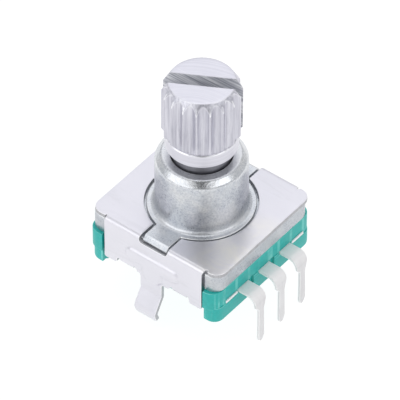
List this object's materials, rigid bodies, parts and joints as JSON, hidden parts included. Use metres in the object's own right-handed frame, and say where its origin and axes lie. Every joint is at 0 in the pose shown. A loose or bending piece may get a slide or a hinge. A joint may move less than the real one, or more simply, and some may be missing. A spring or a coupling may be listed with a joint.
{
  "type": "rotary encoder",
  "caption": "Board-mounted incremental rotary encoder with a serrated, slotted metal shaft in a die-cast bushing, clamped by a folded steel frame.",
  "frame": {"origin": "on the shaft's axis, at the underside of the wafer where it rests on the board", "axes": "+Z along the shaft away from the board, -Y towards the three terminals, X across the two side plates with their snap-in legs"},
  "size_m": [0.0132, 0.0138, 0.0203],
  "materials": {
    "plated_steel": "bright plated sheet",
    "die_cast_zinc": "as-cast zinc, semi-matte",
    "shaft_aluminium": "turned and rolled",
    "wafer_plastic": "moulded teal resin",
    "terminal_metal": "tin plated",
    "spring_bronze": "rolled strip",
    "contact_metal": "plated contact strip",
    "rotor_plastic": "moulded, greased"
  },
  "bodies": {
    "housing": {"frame": "plated_steel", "bushing": "die_cast_zinc", "click_spring": "spring_bronze", "wafer": "wafer_plastic", "terminal_a": "terminal_metal", "terminal_c": "terminal_metal", "terminal_b": "terminal_metal", "brush_a": "spring_bronze", "brush_c": "spring_bronze", "brush_b": "spring_bronze", "lead_stub_left": "terminal_metal", "lead_stub_right": "terminal_metal"},
    "rotor": {"shaft": "shaft_aluminium", "thrust_washer": "spring_bronze", "rotor": "rotor_plastic", "code_plate": "contact_metal"}
  },
  "joints": [
    {"name": "shaft_rotation", "type": "hinge", "parent": "housing", "child": "rotor", "pos_m": [0, 0, 0], "axis": [0, 0, 1], "continuous": true}
  ]
}
